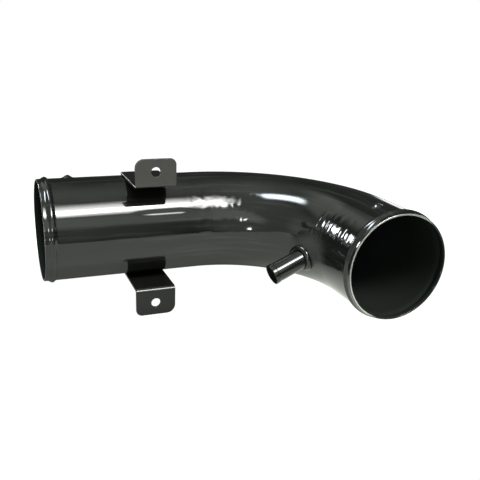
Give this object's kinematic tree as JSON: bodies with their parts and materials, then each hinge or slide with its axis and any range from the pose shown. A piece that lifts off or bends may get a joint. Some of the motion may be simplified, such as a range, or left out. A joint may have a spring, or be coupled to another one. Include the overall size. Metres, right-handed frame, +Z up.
{
  "type": "air filter tube",
  "caption": "Bent steel air filter tube with beaded hose ends, folded bolt-on brackets above and below its straight, and a raked breather nipple inside the bend.",
  "frame": {"origin": "on the brackets' bolting face, half way between their bolt holes", "axes": "+X along the inlet straight from its rim towards the bend, -Y out of the bolting face and out of the outlet, +Z up from the lower bracket to the upper one"},
  "size_m": [0.2581, 0.1821, 0.1188],
  "materials": {
    "black_enamel": "gloss black enamel on steel"
  },
  "bodies": {
    "root": {"intake_tube": "black_enamel", "upper_bracket": "black_enamel", "lower_bracket": "black_enamel", "upper_bracket_weld": "black_enamel", "lower_bracket_weld": "black_enamel", "breather_nipple": "black_enamel", "nipple_weld": "black_enamel"}
  },
  "joints": []
}
